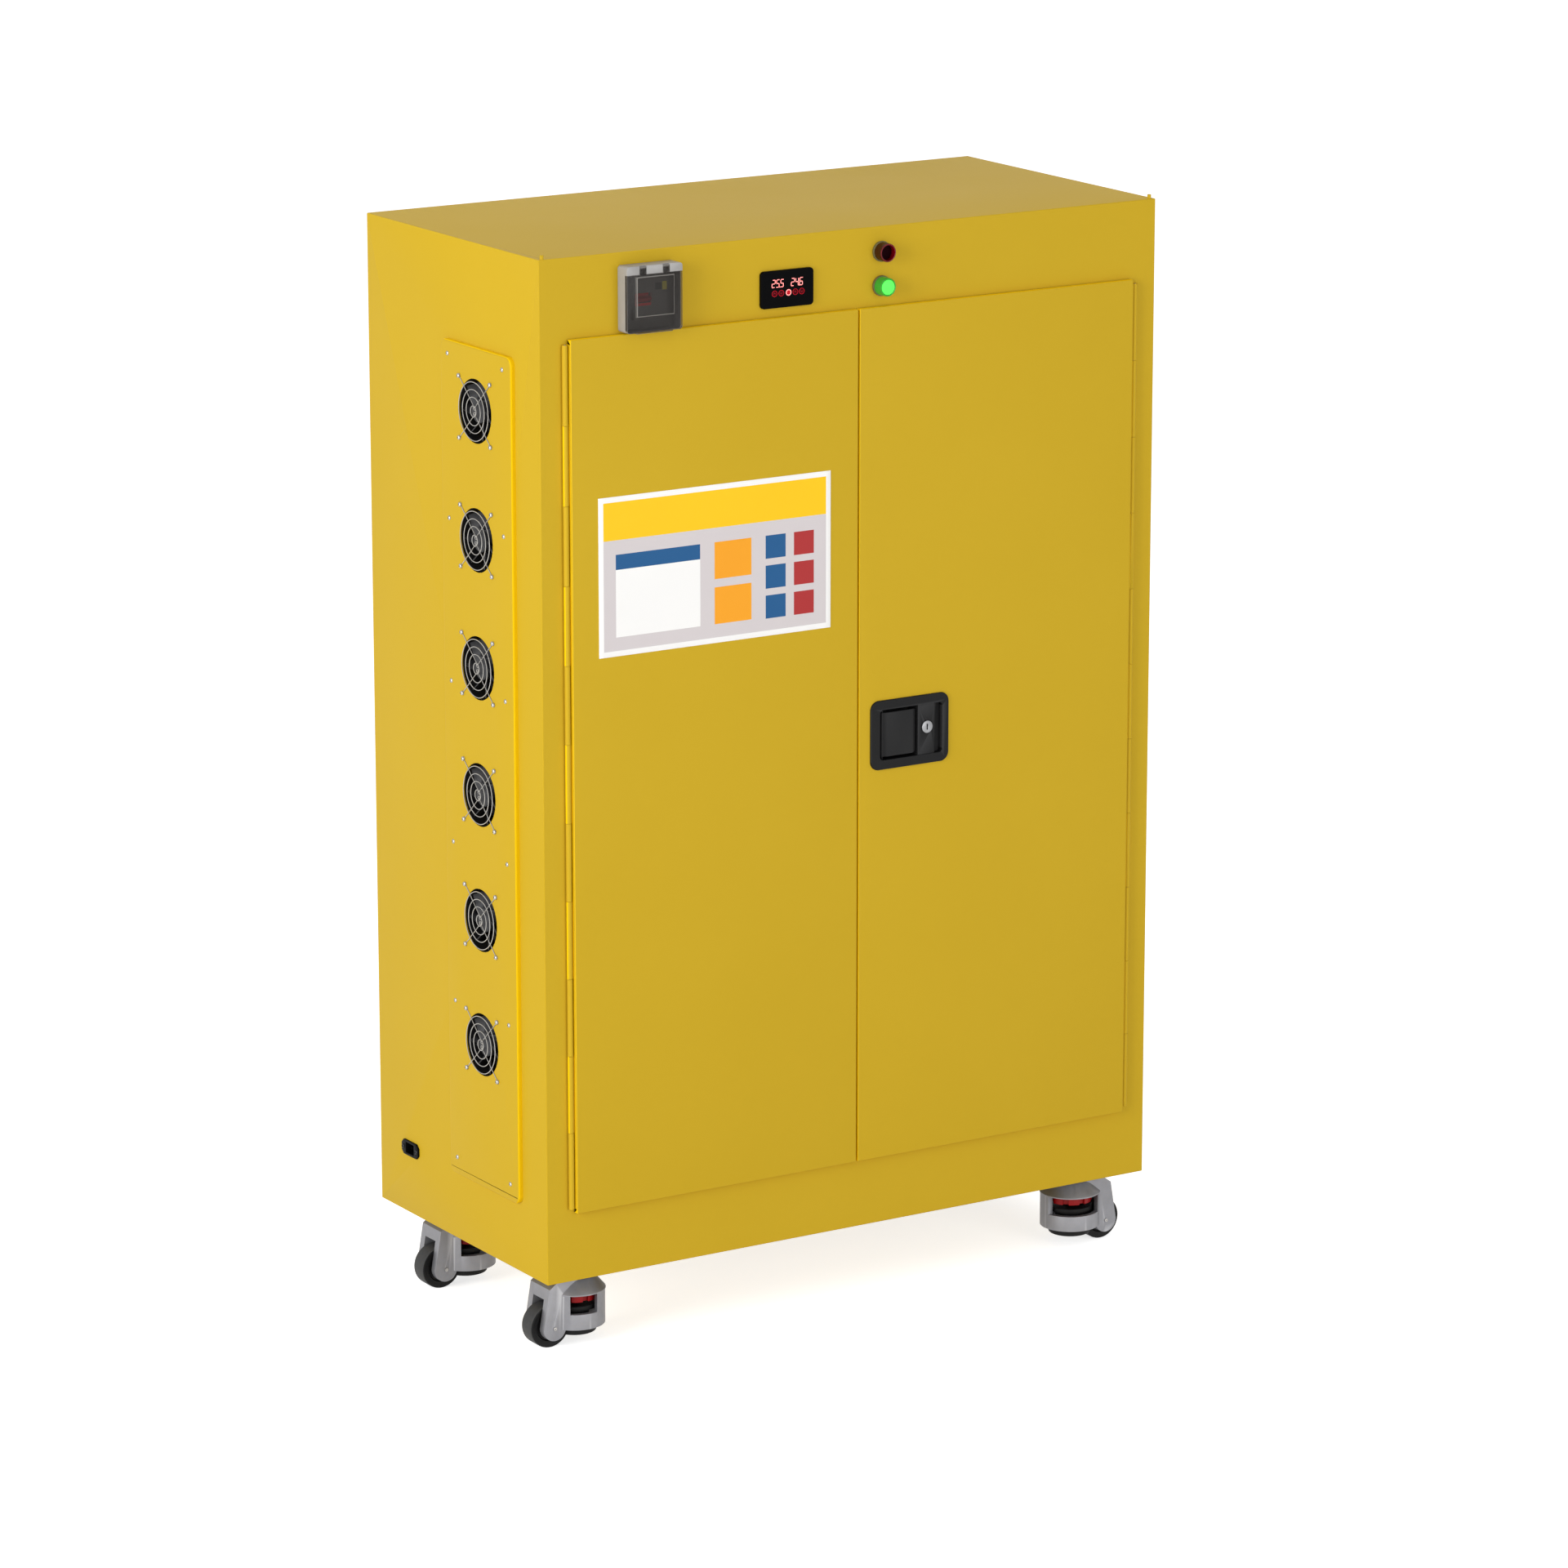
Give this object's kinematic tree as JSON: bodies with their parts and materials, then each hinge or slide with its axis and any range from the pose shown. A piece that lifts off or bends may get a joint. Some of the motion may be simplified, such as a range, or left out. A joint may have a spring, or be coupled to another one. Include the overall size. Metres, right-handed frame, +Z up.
{
  "type": "battery charging cabinet",
  "caption": "Tall double-walled steel cupboard for charging batteries, with hinged doors, a side fan bank, status lamps and levelling casters.",
  "frame": {"origin": "on the floor, under the middle of the cupboard's 1050 by 500 mm body", "axes": "+X to the right seen from the doors, +Y from the doors towards the back, +Z up"},
  "size_m": [1.062, 0.5284, 1.623],
  "materials": {
    "painted_body": "satin",
    "painted_inside": "satin",
    "zinc_steel": "satin",
    "chrome": "polished",
    "cast_aluminium": "matte",
    "black_plastic": "matte",
    "latch_plastic": "satin",
    "display_plastic": "gloss",
    "grey_plastic": "satin",
    "white_plastic": "satin",
    "smoked_lid": "gloss",
    "red_plastic": "satin",
    "red_lens": "gloss",
    "green_lens": "gloss",
    "seal_rubber": "matte",
    "wheel_rubber": "matte",
    "placard_print": "satin"
  },
  "bodies": {
    "cabinet": {"left_side_panel": "painted_body", "right_side_panel": "painted_body", "top_panel": "painted_body", "back_panel": "painted_body", "bottom_pan": "painted_body", "front_frame": "painted_body", "liner_panels": "painted_inside", "back_liner": "painted_inside", "shelves": "painted_inside", "shelf_brackets": "zinc_steel", "socket_strips": "white_plastic", "fan_cover": "painted_body", "fan_frames": "black_plastic", "finger_guards": "zinc_steel", "side_screws": "zinc_steel", "power_inlet": "black_plastic", "display_module": "display_plastic", "lamp_collars": "grey_plastic", "red_lamp_lens": "red_lens", "green_lamp_lens": "green_lens", "breaker_base": "grey_plastic", "circuit_breaker": "black_plastic", "hinge_pins": "zinc_steel", "frame_hinge_leaves": "painted_body", "door_seal": "seal_rubber", "caster_plates": "zinc_steel"},
    "left_door": {"left_door_skin": "painted_body", "left_door_inner": "painted_inside", "placard": "placard_print"},
    "right_door": {"right_door_skin": "painted_body", "right_door_inner": "painted_inside", "latch_bezel": "latch_plastic"},
    "paddle": {"latch_paddle": "latch_plastic"},
    "lock": {"lock_cylinder": "chrome"},
    "upper_lock_rod": {"upper_rod": "zinc_steel"},
    "lower_lock_rod": {"lower_rod": "zinc_steel"},
    "breaker_lid": {"breaker_cover": "smoked_lid"},
    "toggle": {"breaker_toggle": "red_plastic"},
    "fan_1": {"fan_rotor_1": "black_plastic"},
    "fan_2": {"fan_rotor_2": "black_plastic"},
    "fan_3": {"fan_rotor_3": "black_plastic"},
    "fan_4": {"fan_rotor_4": "black_plastic"},
    "fan_5": {"fan_rotor_5": "black_plastic"},
    "fan_6": {"fan_rotor_6": "black_plastic"},
    "front_left_caster": {"front_left_caster_housing": "cast_aluminium"},
    "front_left_roller": {"front_left_wheel": "wheel_rubber"},
    "front_left_dial": {"front_left_adjuster": "red_plastic"},
    "front_left_leg": {"front_left_foot": "wheel_rubber"},
    "front_right_caster": {"front_right_caster_housing": "cast_aluminium"},
    "front_right_roller": {"front_right_wheel": "wheel_rubber"},
    "front_right_dial": {"front_right_adjuster": "red_plastic"},
    "front_right_leg": {"front_right_foot": "wheel_rubber"},
    "rear_left_caster": {"rear_left_caster_housing": "cast_aluminium"},
    "rear_left_roller": {"rear_left_wheel": "wheel_rubber"},
    "rear_left_dial": {"rear_left_adjuster": "red_plastic"},
    "rear_left_leg": {"rear_left_foot": "wheel_rubber"},
    "rear_right_caster": {"rear_right_caster_housing": "cast_aluminium"},
    "rear_right_roller": {"rear_right_wheel": "wheel_rubber"},
    "rear_right_dial": {"rear_right_adjuster": "red_plastic"},
    "rear_right_leg": {"rear_right_foot": "wheel_rubber"}
  },
  "joints": [
    {"name": "left_door_hinge", "type": "hinge", "parent": "cabinet", "child": "left_door", "pos_m": [-0.4865, -0.2543, 0.86125], "axis": [0, 0, -1], "range_deg": [0, 165]},
    {"name": "right_door_hinge", "type": "hinge", "parent": "cabinet", "child": "right_door", "pos_m": [0.4865, -0.2543, 0.86125], "axis": [0, 0, 1], "range_deg": [0, 165]},
    {"name": "paddle_pull", "type": "hinge", "parent": "right_door", "child": "paddle", "pos_m": [0.0425, -0.2575, 0.867], "axis": [0, 0, -1], "range_deg": [0, 35], "stiffness_Nm_per_rad": 0.6},
    {"name": "lock_turn", "type": "hinge", "parent": "right_door", "child": "lock", "pos_m": [0.119, -0.245, 0.87], "axis": [0, -1, 0], "range_deg": [0, 90]},
    {"name": "upper_rod_slide", "type": "slide", "parent": "right_door", "child": "upper_lock_rod", "axis": [0, 0, 1], "range_m": [0, 0.0198]},
    {"name": "lower_rod_slide", "type": "slide", "parent": "right_door", "child": "lower_lock_rod", "axis": [0, 0, -1], "range_m": [0, 0.0199]},
    {"name": "breaker_lid_hinge", "type": "hinge", "parent": "cabinet", "child": "breaker_lid", "pos_m": [-0.3515, -0.2729, 1.5958], "axis": [-1, 0, 0], "range_deg": [0, 105]},
    {"name": "breaker_toggle_tilt", "type": "hinge", "parent": "cabinet", "child": "toggle", "pos_m": [-0.364, -0.2625, 1.5515], "axis": [-1, 0, 0], "range_deg": [0, 60]},
    {"name": "fan_1_spin", "type": "hinge", "parent": "cabinet", "child": "fan_1", "pos_m": [-0.52, -0.0795, 1.377], "axis": [1, 0, 0], "continuous": true},
    {"name": "fan_2_spin", "type": "hinge", "parent": "cabinet", "child": "fan_2", "pos_m": [-0.52, -0.0795, 1.1895], "axis": [1, 0, 0], "continuous": true},
    {"name": "fan_3_spin", "type": "hinge", "parent": "cabinet", "child": "fan_3", "pos_m": [-0.52, -0.0795, 1.002], "axis": [1, 0, 0], "continuous": true},
    {"name": "fan_4_spin", "type": "hinge", "parent": "cabinet", "child": "fan_4", "pos_m": [-0.52, -0.0795, 0.8145], "axis": [1, 0, 0], "continuous": true},
    {"name": "fan_5_spin", "type": "hinge", "parent": "cabinet", "child": "fan_5", "pos_m": [-0.52, -0.0795, 0.627], "axis": [1, 0, 0], "continuous": true},
    {"name": "fan_6_spin", "type": "hinge", "parent": "cabinet", "child": "fan_6", "pos_m": [-0.52, -0.0795, 0.4395], "axis": [1, 0, 0], "continuous": true},
    {"name": "front_left_swivel", "type": "hinge", "parent": "cabinet", "child": "front_left_caster", "pos_m": [-0.44, -0.179, 0.1], "axis": [0, 0, 1], "continuous": true},
    {"name": "front_left_roll", "type": "hinge", "parent": "front_left_caster", "child": "front_left_roller", "pos_m": [-0.4887, -0.179, 0.0325], "axis": [0, 1, 0], "continuous": true},
    {"name": "front_left_dial_turn", "type": "hinge", "parent": "front_left_caster", "child": "front_left_dial", "pos_m": [-0.44, -0.179, 0.0735], "axis": [0, 0, 1], "range_deg": [0, 2970]},
    {"name": "front_left_foot_lower", "type": "slide", "parent": "front_left_caster", "child": "front_left_leg", "axis": [0, 0, -1], "range_m": [0, 0.01655]},
    {"name": "front_right_swivel", "type": "hinge", "parent": "cabinet", "child": "front_right_caster", "pos_m": [0.44, -0.179, 0.1], "axis": [0, 0, 1], "continuous": true},
    {"name": "front_right_roll", "type": "hinge", "parent": "front_right_caster", "child": "front_right_roller", "pos_m": [0.4887, -0.179, 0.0325], "axis": [0, 1, 0], "continuous": true},
    {"name": "front_right_dial_turn", "type": "hinge", "parent": "front_right_caster", "child": "front_right_dial", "pos_m": [0.44, -0.179, 0.0735], "axis": [0, 0, 1], "range_deg": [0, 2970]},
    {"name": "front_right_foot_lower", "type": "slide", "parent": "front_right_caster", "child": "front_right_leg", "axis": [0, 0, -1], "range_m": [0, 0.01655]},
    {"name": "rear_left_swivel", "type": "hinge", "parent": "cabinet", "child": "rear_left_caster", "pos_m": [-0.44, 0.146, 0.1], "axis": [0, 0, 1], "continuous": true},
    {"name": "rear_left_roll", "type": "hinge", "parent": "rear_left_caster", "child": "rear_left_roller", "pos_m": [-0.4887, 0.146, 0.0325], "axis": [0, 1, 0], "continuous": true},
    {"name": "rear_left_dial_turn", "type": "hinge", "parent": "rear_left_caster", "child": "rear_left_dial", "pos_m": [-0.44, 0.146, 0.0735], "axis": [0, 0, 1], "range_deg": [0, 2970]},
    {"name": "rear_left_foot_lower", "type": "slide", "parent": "rear_left_caster", "child": "rear_left_leg", "axis": [0, 0, -1], "range_m": [0, 0.01655]},
    {"name": "rear_right_swivel", "type": "hinge", "parent": "cabinet", "child": "rear_right_caster", "pos_m": [0.44, 0.146, 0.1], "axis": [0, 0, 1], "continuous": true},
    {"name": "rear_right_roll", "type": "hinge", "parent": "rear_right_caster", "child": "rear_right_roller", "pos_m": [0.4887, 0.146, 0.0325], "axis": [0, 1, 0], "continuous": true},
    {"name": "rear_right_dial_turn", "type": "hinge", "parent": "rear_right_caster", "child": "rear_right_dial", "pos_m": [0.44, 0.146, 0.0735], "axis": [0, 0, 1], "range_deg": [0, 2970]},
    {"name": "rear_right_foot_lower", "type": "slide", "parent": "rear_right_caster", "child": "rear_right_leg", "axis": [0, 0, -1], "range_m": [0, 0.01655]}
  ],
  "couplings": [
    {"joint": "lock_turn", "follows": "upper_rod_slide", "rad_per_m": 79.337},
    {"joint": "lower_rod_slide", "follows": "upper_rod_slide", "ratio": 1},
    {"joint": "front_left_foot_lower", "follows": "front_left_dial_turn", "m_per_rad": 0.00031831},
    {"joint": "front_right_foot_lower", "follows": "front_right_dial_turn", "m_per_rad": 0.00031831},
    {"joint": "rear_left_foot_lower", "follows": "rear_left_dial_turn", "m_per_rad": 0.00031831},
    {"joint": "rear_right_foot_lower", "follows": "rear_right_dial_turn", "m_per_rad": 0.00031831}
  ]
}
